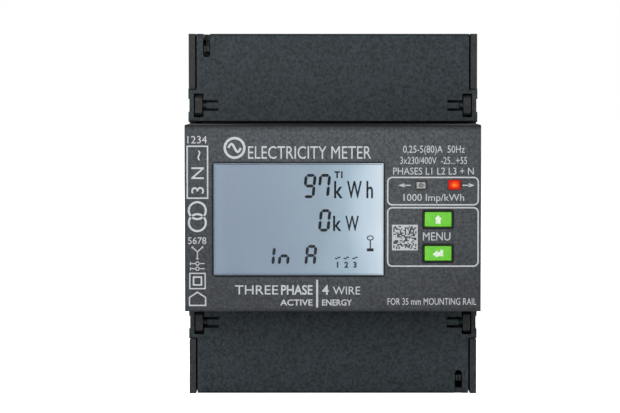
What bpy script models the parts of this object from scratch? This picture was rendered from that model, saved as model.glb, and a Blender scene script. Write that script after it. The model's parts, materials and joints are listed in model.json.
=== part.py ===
"""Three-phase smart electric meter for a 35 mm DIN rail, as an assembly of separate pieces.

X runs to the right, Y to the back and Z up. The origin is the middle of the face that sits on the
rail. Sizes below are in millimetres, and MM turns them into Blender's metres. The upper and lower
ends carry the same terminal block and the same hinged cover, turned half a turn about Y.
"""

import math

import bmesh
import bpy

MM = 0.001

# Overall body: four 18 mm rail modules wide, with the stepped front of a consumer-unit device.
WIDTH = 71.5
HEIGHT = 89.5
NOSE_HEIGHT = 45.0
NOSE_FRONT = -60.0
SHOULDER = -40.0
REAR = 5.0
SEAM = -36.3
GAP = 0.3

# Wall thicknesses of the two shells.
SIDE_WALL = 1.6
NOSE_WALL = 1.8
NOSE_FACE = 2.0
REAR_FLOOR = -2.0

HALF_WIDTH = WIDTH / 2
HALF_HEIGHT = HEIGHT / 2
NOSE_HALF = NOSE_HEIGHT / 2
INNER_X = HALF_WIDTH - SIDE_WALL
INNER_Z = HALF_HEIGHT - SIDE_WALL
NOSE_INNER_X = HALF_WIDTH - NOSE_WALL
NOSE_INNER_Z = NOSE_HALF - NOSE_WALL
NOSE_INNER_Y = NOSE_FRONT + NOSE_FACE

# Cover hinge: its axis runs along X, close behind the cover's plate and close to the nose.
HINGE_Y = -38.2
HINGE_Z = 27.0
HINGE_NOTCH_RADIUS = 4.55
CHEEK_RADIUS = 4.2
CHEEK_X = (34.5, 35.85)
EAR_X = (32.4, 34.2)
EAR_RADIUS = 2.6
EAR_NOTCH_X = (32.1, 34.5)
EAR_NOTCH_HALF = 2.95
PIN_RADIUS = 0.8
PIN_HOLE_RADIUS = 1.1

# Terminal cover plate and its outer skirt.
PLATE = 1.6
PLATE_BACK = SHOULDER + PLATE
PLATE_HALF_WIDTH = 33.75
SKIRT_Y = -30.0
SKIRT = 1.4
EDGE_RADIUS = 0.8
SEAL_SLOT_X = 31.3
SEAL_SLOT_HALF = 0.9
SEAL_SLOT_Z = 39.8

# Terminals: six cells at each end, each with a wire cage and a screw.
CELLS = 6
CELL_PITCH = 10.8
CELL_HALF = 4.4
SCREW_Z = 36.8
BLOCK_X = 33.6
BLOCK_Y = (-30.0, -11.0)
BLOCK_Z = (22.8, 42.6)
BLOCK_WALL = 1.5
BLOCK_FLOOR = 2.0
PORT_PLATE_X = 29.9
PORT_PLATE_Z = 44.3
PORT_HALF = 2.9
PORT_Y = (-21.1, -16.0)
CAGE_X = 4.0
CAGE_Y = (-24.0, -14.8)
CAGE_Z = (34.0, 39.6)
CAGE_SIDE = 1.0
CAGE_END = 1.2
BAR_Y = (-22.4, -21.2)
BAR_HALF = 2.6
SCREW_HEAD_RADIUS = 2.5
SCREW_HEAD_Y = (-32.7, -30.3)
SCREW_SHANK_RADIUS = 1.5
SCREW_TIP = -22.7

# Circuit boards.
BOARD = 1.6
MAIN_BOARD_Y = -9.6
MAIN_BOARD_HALF = (32.5, 42.0)
MAIN_BOARD_POSTS = (29.5, 14.0)
DISPLAY_BOARD_Y = -50.0
DISPLAY_BOARD_HALF = (33.4, 20.2)
DISPLAY_BOARD_POSTS = (32.0, 18.6)

# Front openings, as (left, right) and (low, high).
SCREEN_X = (-28.8, 12.2)
SCREEN_Z = (-13.8, 13.3)
KEY_X = 25.35
KEY_HALF = (3.25, 1.775)
UP_KEY_Z = -0.2
ENTER_KEY_Z = -8.4
KEY_CLEARANCE = 0.2
LEFT_LAMP = (21.25, 8.0)
LEFT_LAMP_HALF = (1.1, 0.8)
RIGHT_LAMP = (29.3, 8.1)
RIGHT_LAMP_HALF = (1.3, 1.0)

# Rail clamp on the back: a fixed upper hook and a sprung lower latch.
RAIL_SLOT_HALF = 17.8
SEAT_HALF = 15.0
HOOK_Z = 16.4
HOOK_Y = 1.4
LATCH_X = 9.0
LATCH_Y = (1.3, 4.3)
LATCH_Z = (-43.5, -16.0)
LATCH_FLANGE_X = 10.9
LATCH_FLANGE_Y = (2.2, 3.2)
LATCH_FLANGE_Z = (-38.5, -20.0)
LATCH_WINDOW_X = 3.2
LATCH_WINDOW_Z = (-39.0, -25.0)
SPRING_PEG_Z = (-38.0, -36.6)
SPRING_RADIUS = 1.05
SPRING_WIRE_RADIUS = 0.26
SPRING_TURNS = 7


def clear_scene():
    for thing in list(bpy.data.objects):
        bpy.data.objects.remove(thing, do_unlink=True)


def plastic(name, colour, roughness=0.55, metallic=0.0, alpha=1.0):
    """A Principled material of one colour."""
    material = bpy.data.materials.new(name)
    material.use_nodes = True
    shader = material.node_tree.nodes["Principled BSDF"]
    shader.inputs["Base Color"].default_value = (*colour, 1.0)
    shader.inputs["Roughness"].default_value = roughness
    shader.inputs["Metallic"].default_value = metallic
    shader.inputs["Alpha"].default_value = alpha
    material.diffuse_color = (*colour, alpha)
    return material


# Shapes. Each function returns one that adds a closed volume to a bmesh.


def prism(axis, outline, ends):
    """A flat outline across an axis, drawn out between two ends along it."""

    def corner(u, v, along):
        places = {"X": (along, u, v), "Y": (u, along, v), "Z": (u, v, along)}
        return [value * MM for value in places[axis]]

    def put(bm):
        loops = [[bm.verts.new(corner(u, v, end)) for u, v in outline] for end in ends]
        low, high = loops
        bm.faces.new(low)
        bm.faces.new(high)
        for i in range(len(outline)):
            following = (i + 1) % len(outline)
            bm.faces.new((low[i], low[following], high[following], high[i]))

    return put


def box(x, y, z):
    """A box between the two ends given along each axis."""
    return prism("Z", [(x[0], y[0]), (x[1], y[0]), (x[1], y[1]), (x[0], y[1])], z)


def centred(middle, half):
    return (middle - half, middle + half)


def around(half):
    return (-half, half)


def both(ends):
    """The same stretch on the right and on the left."""
    return (ends, (-ends[1], -ends[0]))


def arc(centre, radius, start, end, steps):
    """Points on an arc in degrees, its first and last points included."""
    angles = [math.radians(start + (end - start) * i / steps) for i in range(steps + 1)]
    return [
        (centre[0] + radius * math.cos(a), centre[1] + radius * math.sin(a)) for a in angles
    ]


def circle(centre, radius, sides):
    return arc(centre, radius, 0, 360 * (sides - 1) / sides, sides - 1)


def rod(axis, centre, radius, ends, sides=20):
    return prism(axis, circle(centre, radius, sides), ends)


def flat_topped_disc(radius, ends, sides=32):
    """A disc about the hinge axis, cut off level with the cover's face."""
    outline = [(max(y, SHOULDER), z) for y, z in circle((HINGE_Y, HINGE_Z), radius, sides)]
    return prism("X", outline, ends)


# Solids. A step fuses volumes to the piece or cuts them away.


def add(*volumes):
    return ("UNION", volumes)


def cut(*volumes):
    return ("DIFFERENCE", volumes)


def volume_object(put):
    bm = bmesh.new()
    put(bm)
    bmesh.ops.recalc_face_normals(bm, faces=bm.faces)
    mesh = bpy.data.meshes.new("volume")
    bm.to_mesh(mesh)
    bm.free()
    thing = bpy.data.objects.new("volume", mesh)
    bpy.context.collection.objects.link(thing)
    return thing


def carved_mesh(name, base, steps, origin):
    """The mesh of a base volume after every step, measured from the piece's origin."""
    body = volume_object(base)
    tools = []
    for operation, volumes in steps:
        for volume in volumes:
            tool = volume_object(volume)
            modifier = body.modifiers.new("step", "BOOLEAN")
            modifier.solver = "EXACT"
            modifier.operation = operation
            modifier.object = tool
            tools.append(tool)
    graph = bpy.context.evaluated_depsgraph_get()
    mesh = bpy.data.meshes.new_from_object(body.evaluated_get(graph))
    for thing in [body, *tools]:
        bpy.data.objects.remove(thing, do_unlink=True)
    mesh.name = name
    for vertex in mesh.vertices:
        vertex.co = [value - start * MM for value, start in zip(vertex.co, origin)]
    mesh.shade_smooth()
    mesh.set_sharp_from_angle(angle=math.radians(30))
    return mesh


def place(name, mesh, origin, half_turn=False):
    """An object with its origin in millimetres, perhaps turned half a turn about Y."""
    thing = bpy.data.objects.new(name, mesh)
    thing.location = [value * MM for value in origin]
    thing.rotation_euler = (0, math.pi if half_turn else 0, 0)
    bpy.context.collection.objects.link(thing)
    return thing


def solid(name, material, base, *steps, origin=(0, 0, 0)):
    mesh = carved_mesh(name, base, steps, origin)
    mesh.materials.clear()
    mesh.materials.append(material)
    return place(name, mesh, origin)


def lower_twin(name, upper):
    """The same piece at the other end of the meter."""
    x, y, z = [value / MM for value in upper.location]
    return place(name, upper.data, (-x, y, -z), half_turn=True)


# Casing.


def hinge_ear(x):
    """An eye for the cover's pin, on a stem that stands on the wall's inner side."""
    outward = (x[0], x[1] + 0.4) if x[0] > 0 else (x[0] - 0.4, x[1])
    stem_z = (HINGE_Z + 0.6, HINGE_Z + EAR_RADIUS)
    return (
        flat_topped_disc(EAR_RADIUS, x),
        box(x, (HINGE_Y, SKIRT_Y - 0.4), stem_z),
        box(outward, (HINGE_Y + 5.0, SKIRT_Y - 0.4), stem_z),
    )


def seal_lug():
    """The post that stands in the cover's slot and takes the seal wire."""
    x = centred(-SEAL_SLOT_X, SEAL_SLOT_HALF - 0.25)
    return (
        box(x, (SHOULDER + 0.8, -27.0), (40.3, 41.7)),
        box(x, (-29.5, -24.0), (40.3, INNER_Z + 0.3)),
    )


def seal_wire_groove():
    return box(centred(-SEAL_SLOT_X, 0.25), (SHOULDER, SHOULDER + 1.8), (40.0, 42.0))


def mirrored_end(volume):
    """The same volume turned half a turn about Y, for the meter's lower end."""

    def put(bm):
        before = set(bm.verts)
        volume(bm)
        for vertex in set(bm.verts) - before:
            vertex.co.x *= -1
            vertex.co.z *= -1

    return put


def at_both_ends(volumes):
    return [*volumes, *[mirrored_end(volume) for volume in volumes]]


def rear_housing(material):
    """The tray that holds the boards and terminals, with the rail clamp on its back."""
    inside = box(around(INNER_X), (SHOULDER - 1, REAR_FLOOR), around(INNER_Z))
    seam = box(around(HALF_WIDTH + 1), (SHOULDER - 1, SEAM), around(HINGE_Z - 3))
    end_openings = at_both_ends(
        [
            box(around(INNER_X), (SHOULDER - 1, SKIRT_Y + GAP), (INNER_Z - 1, HALF_HEIGHT + 1)),
            box(around(PORT_PLATE_X + GAP), (SKIRT_Y, -12.0), (INNER_Z - 1, HALF_HEIGHT + 1)),
            rod("X", (HINGE_Y, HINGE_Z), HINGE_NOTCH_RADIUS, around(HALF_WIDTH + 1), 40),
        ]
    )
    snap_windows = [box(around(HALF_WIDTH + 1), (-32.5, -30.1), z) for z in both((8.0, 14.0))]
    rail_slot = box(around(HALF_WIDTH + 1), (0, REAR + 1), around(RAIL_SLOT_HALF))
    reliefs = [
        box(around(HALF_WIDTH + 1), (-0.4, 0.5), z) for z in both((SEAT_HALF, RAIL_SLOT_HALF))
    ]
    channel = box(around(LATCH_X + 0.4), (LATCH_Y[0] - GAP, REAR + 1), (-HALF_HEIGHT - 1, -17))
    grooves = box(around(LATCH_FLANGE_X + 0.4), (1.9, 3.5), (-42.5, -17))
    foot_pockets = [
        box(x, (-0.4, REAR + 1), z)
        for z, columns in (
            ((20.0, 43.0), [(-33.8, -12.2), (-11.0, 11.0), (12.2, 33.8)]),
            ((-43.0, -20.0), [(-33.8, -13.0), (13.0, 33.8)]),
        )
        for x in columns
    ]
    ears = at_both_ends([volume for x in both(EAR_X) for volume in hinge_ear(x)])
    lugs = at_both_ends(seal_lug())
    hook = box(around(HALF_WIDTH), (HOOK_Y, REAR), (HOOK_Z, RAIL_SLOT_HALF + 0.2))
    peg = box(around(2.6), (0.5, 4.0), SPRING_PEG_Z)
    posts = [
        rod("Y", (x, z), radius, (top, REAR_FLOOR + 0.1), 12)
        for x in (-MAIN_BOARD_POSTS[0], MAIN_BOARD_POSTS[0])
        for z in (-MAIN_BOARD_POSTS[1], MAIN_BOARD_POSTS[1])
        for radius, top in ((2.2, MAIN_BOARD_Y + BOARD + GAP), (1.0, MAIN_BOARD_Y - 0.6))
    ]
    ledges = [
        box(x, (BLOCK_Y[1] + GAP, REAR_FLOOR + 0.1), z)
        for x in both((32.8, INNER_X + 0.2))
        for z in both((26.0, 41.0))
    ]
    nibs = [
        box(x, (-31.5, BLOCK_Y[0] - GAP), z)
        for x in both((33.2, INNER_X + 0.2))
        for z in both((33.0, 38.0))
    ]
    pin_holes = at_both_ends([rod("X", (HINGE_Y, HINGE_Z), PIN_HOLE_RADIUS, around(34.35), 16)])
    grooves_in_lugs = at_both_ends([seal_wire_groove()])
    return solid(
        "rear_housing",
        material,
        box(around(HALF_WIDTH), (SHOULDER, REAR), around(HALF_HEIGHT)),
        cut(inside, seam, *end_openings, *snap_windows),
        cut(rail_slot, *reliefs, channel, grooves, *foot_pockets),
        add(*ears, *lugs, hook, peg, *posts, *ledges, *nibs),
        cut(*pin_holes, *grooves_in_lugs),
    )


def front_housing(material):
    """The nose shell, with openings for the screen, the keys and the lamps."""
    keys = [
        box(
            centred(KEY_X, KEY_HALF[0] + KEY_CLEARANCE),
            (NOSE_FRONT - 1, NOSE_INNER_Y + 1),
            centred(z, KEY_HALF[1] + KEY_CLEARANCE),
        )
        for z in (UP_KEY_Z, ENTER_KEY_Z)
    ]
    lamps = [
        box(
            centred(place_x, half[0] + KEY_CLEARANCE),
            (NOSE_FRONT - 1, NOSE_INNER_Y + 1),
            centred(place_z, half[1] + KEY_CLEARANCE),
        )
        for (place_x, place_z), half in (
            (LEFT_LAMP, LEFT_LAMP_HALF),
            (RIGHT_LAMP, RIGHT_LAMP_HALF),
        )
    ]
    posts = [
        rod("Y", (x, z), radius, (NOSE_INNER_Y - 0.1, back), 12)
        for x in (-DISPLAY_BOARD_POSTS[0], DISPLAY_BOARD_POSTS[0])
        for z in (-DISPLAY_BOARD_POSTS[1], DISPLAY_BOARD_POSTS[1])
        for radius, back in ((1.5, DISPLAY_BOARD_Y - GAP), (0.8, DISPLAY_BOARD_Y + BOARD + 0.6))
    ]
    snap_tabs = [
        box(x, y, z)
        for columns, y in (
            (both((32.3, NOSE_INNER_X + 0.3)), (-42.0, SEAM - GAP)),
            (both((32.3, 33.85)), (SEAM - 1.0, -29.0)),
            (both((33.7, 35.3)), (-32.2, -30.4)),
        )
        for x in columns
        for z in both((8.3, 13.7))
    ]
    return solid(
        "front_housing",
        material,
        box(around(HALF_WIDTH), (NOSE_FRONT, SEAM - GAP), around(NOSE_HALF)),
        cut(
            box(around(NOSE_INNER_X), (NOSE_INNER_Y, SEAM + 1), around(NOSE_INNER_Z)),
            box(SCREEN_X, (NOSE_FRONT - 1, NOSE_INNER_Y + 1), SCREEN_Z),
            *keys,
            *lamps,
        ),
        add(*posts, *snap_tabs),
    )


def cover_profile():
    """The plate with its skirt, across X, its nose-side edge rounded to swing past the nose."""
    behind = PLATE_BACK - HINGE_Y
    front = SHOULDER - HINGE_Y
    start = math.degrees(math.atan2(-math.sqrt(CHEEK_RADIUS**2 - behind**2), behind))
    end = math.degrees(math.atan2(-math.sqrt(CHEEK_RADIUS**2 - front**2), front))
    nose_edge = arc((HINGE_Y, HINGE_Z), CHEEK_RADIUS, start, end, 3)
    corner = (SHOULDER + EDGE_RADIUS, HALF_HEIGHT - EDGE_RADIUS)
    outer_edge = arc(corner, EDGE_RADIUS, 180, 90, 4)
    skirt = [
        (SKIRT_Y, HALF_HEIGHT),
        (SKIRT_Y, HALF_HEIGHT - SKIRT),
        (PLATE_BACK, HALF_HEIGHT - SKIRT),
    ]
    return [*nose_edge, *outer_edge, *skirt]


def terminal_cover(name, material):
    """The upper hinged cover, with a pin on a springy tongue at each side."""
    cheeks = [flat_topped_disc(CHEEK_RADIUS, x) for x in both(CHEEK_X)]
    bridge_outline = [
        (min(y, PLATE_BACK), z)
        for y, z in circle((HINGE_Y, HINGE_Z), CHEEK_RADIUS, 32)
        if y < PLATE_BACK
    ]
    bridge_outline = [(max(y, SHOULDER), z) for y, z in bridge_outline]
    bridges = [prism("X", bridge_outline, x) for x in both((33.0, 35.0))]
    ear_notches = [
        box(x, (SHOULDER - 1, PLATE_BACK + 0.2), centred(HINGE_Z, EAR_NOTCH_HALF))
        for x in both(EAR_NOTCH_X)
    ]
    pin_windows = [
        box(x, (SHOULDER - 1, PLATE_BACK + 1), centred(HINGE_Z, 1.35)) for x in both((28.4, 32.2))
    ]
    cheek_recesses = [
        box(x, (SHOULDER - 1, HINGE_Y + 5), centred(HINGE_Z, 1.6)) for x in both((35.6, 36.5))
    ]
    tongues = [
        box(x, y, centred(HINGE_Z, 0.7))
        for columns, y in (
            (both((28.2, 31.3)), (SHOULDER + 0.3, PLATE_BACK)),
            (both((30.0, 31.3)), (SHOULDER + 0.4, HINGE_Y + PIN_RADIUS)),
        )
        for x in columns
    ]
    pins = [rod("X", (HINGE_Y, HINGE_Z), PIN_RADIUS, x, 16) for x in both((31.0, 34.0))]
    ribs = [
        box(centred(x, 0.5), (PLATE_BACK - 0.1, PLATE_BACK + 1.8), (24.5, HALF_HEIGHT - SKIRT + 0.1))
        for x in (-14, 14)
    ]
    slot = box(
        centred(-SEAL_SLOT_X, SEAL_SLOT_HALF),
        (SHOULDER - 1, SKIRT_Y + 1),
        (SEAL_SLOT_Z, HALF_HEIGHT + 1),
    )
    slot_end = rod(
        "Y", (-SEAL_SLOT_X, SEAL_SLOT_Z), SEAL_SLOT_HALF, (SHOULDER - 1, SKIRT_Y + 1), 24
    )
    return solid(
        name,
        material,
        prism("X", cover_profile(), around(PLATE_HALF_WIDTH)),
        add(*cheeks, *bridges, *ribs),
        cut(*ear_notches, *pin_windows, *cheek_recesses, slot, slot_end),
        add(*tongues, *pins),
        origin=(0, HINGE_Y, HINGE_Z),
    )


# Terminals.


def cell_centres():
    first = -CELL_PITCH * (CELLS - 1) / 2
    return [first + CELL_PITCH * i for i in range(CELLS)]


def terminal_block(name, material):
    """Six cells side by side, each with a screw hole, a wire port and a slit for its bar."""
    cells = []
    for x in cell_centres():
        cells += [
            box(
                centred(x, CELL_HALF),
                (BLOCK_Y[0] + BLOCK_WALL, BLOCK_Y[1] - BLOCK_FLOOR),
                (BLOCK_Z[0] + BLOCK_WALL, BLOCK_Z[1] - BLOCK_WALL),
            ),
            rod("Y", (x, SCREW_Z), SCREW_SHANK_RADIUS + 0.4, (BLOCK_Y[0] - 1, BLOCK_Y[0] + 2), 16),
            box(centred(x, PORT_HALF), PORT_Y, (BLOCK_Z[1] - 2, PORT_PLATE_Z + 1)),
            box(
                centred(x, BAR_HALF + GAP),
                (BAR_Y[0] - GAP, BAR_Y[1] + GAP),
                (BLOCK_Z[0] - 1, BLOCK_Z[0] + 2),
            ),
        ]
    barriers = [
        box(centred(x + CELL_PITCH / 2, 0.6), (-33.2, BLOCK_Y[0] + 0.1), (30.0, BLOCK_Z[1]))
        for x in cell_centres()[:-1]
    ]
    port_plate = box(
        around(PORT_PLATE_X), (BLOCK_Y[0] + 0.6, -12.0 - GAP), (BLOCK_Z[1] - 0.1, PORT_PLATE_Z)
    )
    lug_space = box((-BLOCK_X - 1, -30.3), (BLOCK_Y[0] - 1, -23.7), (40.0, BLOCK_Z[1] + 0.2))
    lead_in = [
        box(centred(x, PORT_HALF + 0.5), (PORT_Y[0] - 0.5, PORT_Y[1] + 0.5), (43.7, 45.0))
        for x in cell_centres()
    ]
    return solid(
        name,
        material,
        box(around(BLOCK_X), BLOCK_Y, BLOCK_Z),
        add(port_plate, *barriers),
        cut(*cells),
        cut(lug_space, *lead_in),
    )


def terminal_screw(name, material, x):
    """A combination-drive clamp screw, turning about Y."""
    slot_y = (SCREW_HEAD_Y[0] - 1, SCREW_HEAD_Y[0] + 1.2)
    return solid(
        name,
        material,
        rod("Y", (x, SCREW_Z), SCREW_HEAD_RADIUS, SCREW_HEAD_Y, 20),
        add(rod("Y", (x, SCREW_Z), SCREW_SHANK_RADIUS, (SCREW_HEAD_Y[1] - 1, SCREW_TIP), 12)),
        cut(
            box(centred(x, 1.9), slot_y, centred(SCREW_Z, 0.35)),
            box(centred(x, 0.35), slot_y, centred(SCREW_Z, 1.3)),
        ),
        origin=(x, SCREW_HEAD_Y[1], SCREW_Z),
    )


def wire_cage(name, material, x):
    """The clamp ring that the screw pulls up, closing the wire against the bar."""
    inside_y = (CAGE_Y[0] + CAGE_END, CAGE_Y[1] - CAGE_END)
    return solid(
        name,
        material,
        box(centred(x, CAGE_X), CAGE_Y, CAGE_Z),
        cut(
            box(centred(x, CAGE_X - CAGE_SIDE), inside_y, (CAGE_Z[0] - 1, CAGE_Z[1] + 1)),
            rod("Y", (x, SCREW_Z), SCREW_SHANK_RADIUS + 0.25, (CAGE_Y[0] - 1, inside_y[0] + 1), 12),
        ),
        origin=(x, CAGE_Y[0], SCREW_Z),
    )


def upper_contact(name, material, x):
    """A flat contact from an upper terminal to the main board."""
    return solid(
        name,
        material,
        box(centred(x, BAR_HALF), BAR_Y, (20.6, 39.0)),
        add(box(centred(x, BAR_HALF), (BAR_Y[0], MAIN_BOARD_Y - GAP), (20.6, 21.8))),
        origin=(x, BAR_Y[0], 20.6),
    )


def current_bar(name, material, x):
    """A copper U between two neighbouring lower terminals, one leg through the transformer."""
    other = x + CELL_PITCH
    return solid(
        name,
        material,
        box(centred(x, BAR_HALF), BAR_Y, (-39.0, -6.4)),
        add(
            box(centred(other, BAR_HALF), BAR_Y, (-39.0, -6.4)),
            box((x - BAR_HALF, other + BAR_HALF), BAR_Y, (-10.0, -6.4)),
        ),
        origin=(x, BAR_Y[0], -8.0),
    )


def current_transformer(name, material, x):
    middle = (BAR_Y[0] + BAR_Y[1]) / 2
    return solid(
        name,
        material,
        rod("Z", (x, middle), 6.0, (-18.5, -11.5), 28),
        cut(rod("Z", (x, middle), 3.1, (-20, -10), 20)),
        origin=(x, middle, -15.0),
    )


def terminal_set(tin, brass):
    """Twelve screws and cages, numbered along the upper end and then along the lower."""
    number = 1
    for x in cell_centres():
        screw = terminal_screw(f"terminal_screw_{number:02d}", tin, x)
        cage = wire_cage(f"wire_cage_{number:02d}", brass, x)
        lower_twin(f"terminal_screw_{number + CELLS:02d}", screw)
        lower_twin(f"wire_cage_{number + CELLS:02d}", cage)
        upper_contact(f"upper_contact_{number}", brass, x)
        number += 1


# Display, keys and lamps.


def widened(ends, by):
    return (ends[0] - by, ends[1] + by)


def display_stack(clear, glass, guide, white):
    """The window, the liquid-crystal panel, its light guide and the frame round them."""
    pane_x = widened(SCREEN_X, -GAP)
    pane_z = widened(SCREEN_Z, -GAP)
    solid(
        "display_window",
        clear,
        box(pane_x, (NOSE_FRONT + 0.4, -57.2), pane_z),
        add(box(widened(pane_x, 1.6), (-57.7, -56.9), widened(pane_z, 1.6))),
    )
    panel_x = widened(SCREEN_X, 0.8)
    panel_z = widened(SCREEN_Z, 0.8)
    bevelled_block("lcd_panel", glass, panel_x, (-56.6, -54.8), panel_z, 0.3)
    bevelled_block("backlight_guide", guide, panel_x, (-54.5, -51.5), panel_z, 0.4)
    solid(
        "lcd_frame",
        white,
        box(widened(panel_x, 1.6), (-56.6, DISPLAY_BOARD_Y - GAP), widened(panel_z, 1.6)),
        cut(
            box(widened(panel_x, GAP), (-58, -51.2), widened(panel_z, GAP)),
            box(widened(panel_x, -2.4), (-52, -49), widened(panel_z, -2.4)),
        ),
    )


def bevelled_block(name, material, x, y, z, chamfer):
    """A flat slab whose four edges along Y are chamfered."""
    outline = [
        (x[0] + chamfer, z[0]),
        (x[1] - chamfer, z[0]),
        (x[1], z[0] + chamfer),
        (x[1], z[1] - chamfer),
        (x[1] - chamfer, z[1]),
        (x[0] + chamfer, z[1]),
        (x[0], z[1] - chamfer),
        (x[0], z[0] + chamfer),
    ]
    return solid(name, material, prism("Y", outline, y))


def push_button(name, material, z):
    """A key cap with the flange that keeps it behind the front, and its stem."""
    return solid(
        name,
        material,
        box(
            centred(KEY_X, KEY_HALF[0]),
            (NOSE_FRONT - 0.2, NOSE_INNER_Y + 0.6),
            centred(z, KEY_HALF[1]),
        ),
        add(
            box(
                centred(KEY_X, KEY_HALF[0] + 0.85),
                (NOSE_INNER_Y + GAP, NOSE_INNER_Y + 1.2),
                centred(z, KEY_HALF[1] + 0.9),
            ),
            rod("Y", (KEY_X, z), 1.2, (NOSE_INNER_Y + 1, -54.5), 12),
        ),
        origin=(KEY_X, NOSE_FRONT, z),
    )


def tactile_switch(key, body_material, plunger_material, z):
    """The switch under one key: a square body on the board and a round plunger in it."""
    solid(
        f"{key}_switch",
        body_material,
        box(centred(KEY_X, 3.0), (-53.4, DISPLAY_BOARD_Y - GAP), centred(z, 3.0)),
        cut(rod("Y", (KEY_X, z), 2.0, (-54, -51.2), 16)),
        origin=(KEY_X, DISPLAY_BOARD_Y, z),
    )
    solid(
        f"{key}_switch_plunger",
        plunger_material,
        rod("Y", (KEY_X, z), 1.7, (-54.2, -51.9), 16),
        origin=(KEY_X, -54.2, z),
    )


def light_pipe(name, material, centre, half):
    """A clear pipe from a lamp on the display board to the front."""
    return solid(
        name,
        material,
        box(
            centred(centre[0], half[0]),
            (NOSE_FRONT + 0.1, NOSE_INNER_Y + 0.5),
            centred(centre[1], half[1]),
        ),
        add(
            box(
                centred(centre[0], half[0] + 0.7),
                (NOSE_INNER_Y + GAP, -51.5),
                centred(centre[1], half[1] + 0.7),
            )
        ),
    )


# Boards.


def board(name, material, y, half, posts, hole_radius):
    """A circuit board across Y, with a hole at each of its four posts."""
    holes = [
        rod("Y", (x, z), hole_radius, (y - 1, y + BOARD + 1), 12)
        for x in (-posts[0], posts[0])
        for z in (-posts[1], posts[1])
    ]
    return solid(
        name, material, box(around(half[0]), (y, y + BOARD), around(half[1])), cut(*holes)
    )


def circuit_boards(material):
    board(
        "main_board", material, MAIN_BOARD_Y, MAIN_BOARD_HALF, MAIN_BOARD_POSTS, 1.0 + GAP
    )
    board(
        "display_board",
        material,
        DISPLAY_BOARD_Y,
        DISPLAY_BOARD_HALF,
        DISPLAY_BOARD_POSTS,
        0.8 + GAP,
    )
    riser_y = (DISPLAY_BOARD_Y + BOARD + GAP, MAIN_BOARD_Y - GAP)
    solid(
        "riser_board",
        material,
        box(around(20.0), riser_y, (15.0, 15.0 + BOARD)),
        cut(*[box(x, (-34, -24), (14, 18)) for x in both((14.0, 21.0))]),
    )


def supply_capacitor(material):
    """The electrolytic can of the power supply, standing on the main board."""
    centre = (-22.0, 8.0)
    return solid(
        "supply_capacitor",
        material,
        rod("Y", centre, 5.0, (-24.0, MAIN_BOARD_Y - GAP), 28),
        origin=(centre[0], MAIN_BOARD_Y, centre[1]),
    )


# Rail clamp.


def rail_latch(material):
    """The sliding foot that hooks under the rail's lower edge."""
    nose_chamfer = prism(
        "X",
        [(LATCH_Y[0] + 1.6, -15.0), (REAR, -15.0), (REAR, -18.0)],
        around(LATCH_X + 1),
    )
    return solid(
        "rail_latch",
        material,
        box(around(LATCH_X), LATCH_Y, LATCH_Z),
        add(box(around(LATCH_FLANGE_X), LATCH_FLANGE_Y, LATCH_FLANGE_Z)),
        cut(
            box(around(LATCH_WINDOW_X), (0, REAR), LATCH_WINDOW_Z),
            box(around(3.0), (0, REAR), (-42.2, -40.4)),
            nose_chamfer,
        ),
        origin=(0, LATCH_Y[0], LATCH_Z[1]),
    )


def coil_points(start, end, radius, turns, steps=10):
    """Points of a helix about Z, from start to end."""
    count = turns * steps
    return [
        (
            radius * math.cos(2 * math.pi * i / steps),
            radius * math.sin(2 * math.pi * i / steps),
            start + (end - start) * i / count,
        )
        for i in range(count + 1)
    ]


def latch_spring(material):
    """The compression spring between the fixed peg and the latch."""
    low = SPRING_PEG_Z[1] + GAP + SPRING_WIRE_RADIUS
    high = LATCH_WINDOW_Z[1] - GAP - SPRING_WIRE_RADIUS
    middle_y = (LATCH_Y[0] + LATCH_Y[1]) / 2 - 0.1
    curve = bpy.data.curves.new("rail_latch_spring", "CURVE")
    curve.dimensions = "3D"
    curve.bevel_depth = SPRING_WIRE_RADIUS * MM
    curve.bevel_resolution = 1
    curve.use_fill_caps = True
    points = coil_points(low, high, SPRING_RADIUS, SPRING_TURNS)
    spline = curve.splines.new("POLY")
    spline.points.add(len(points) - 1)
    for point, (x, y, z) in zip(spline.points, points):
        point.co = (x * MM, y * MM, (z - SPRING_PEG_Z[1]) * MM, 1.0)
    curve.materials.append(material)
    return place("rail_latch_spring", curve, (0, middle_y, SPRING_PEG_Z[1]))


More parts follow.
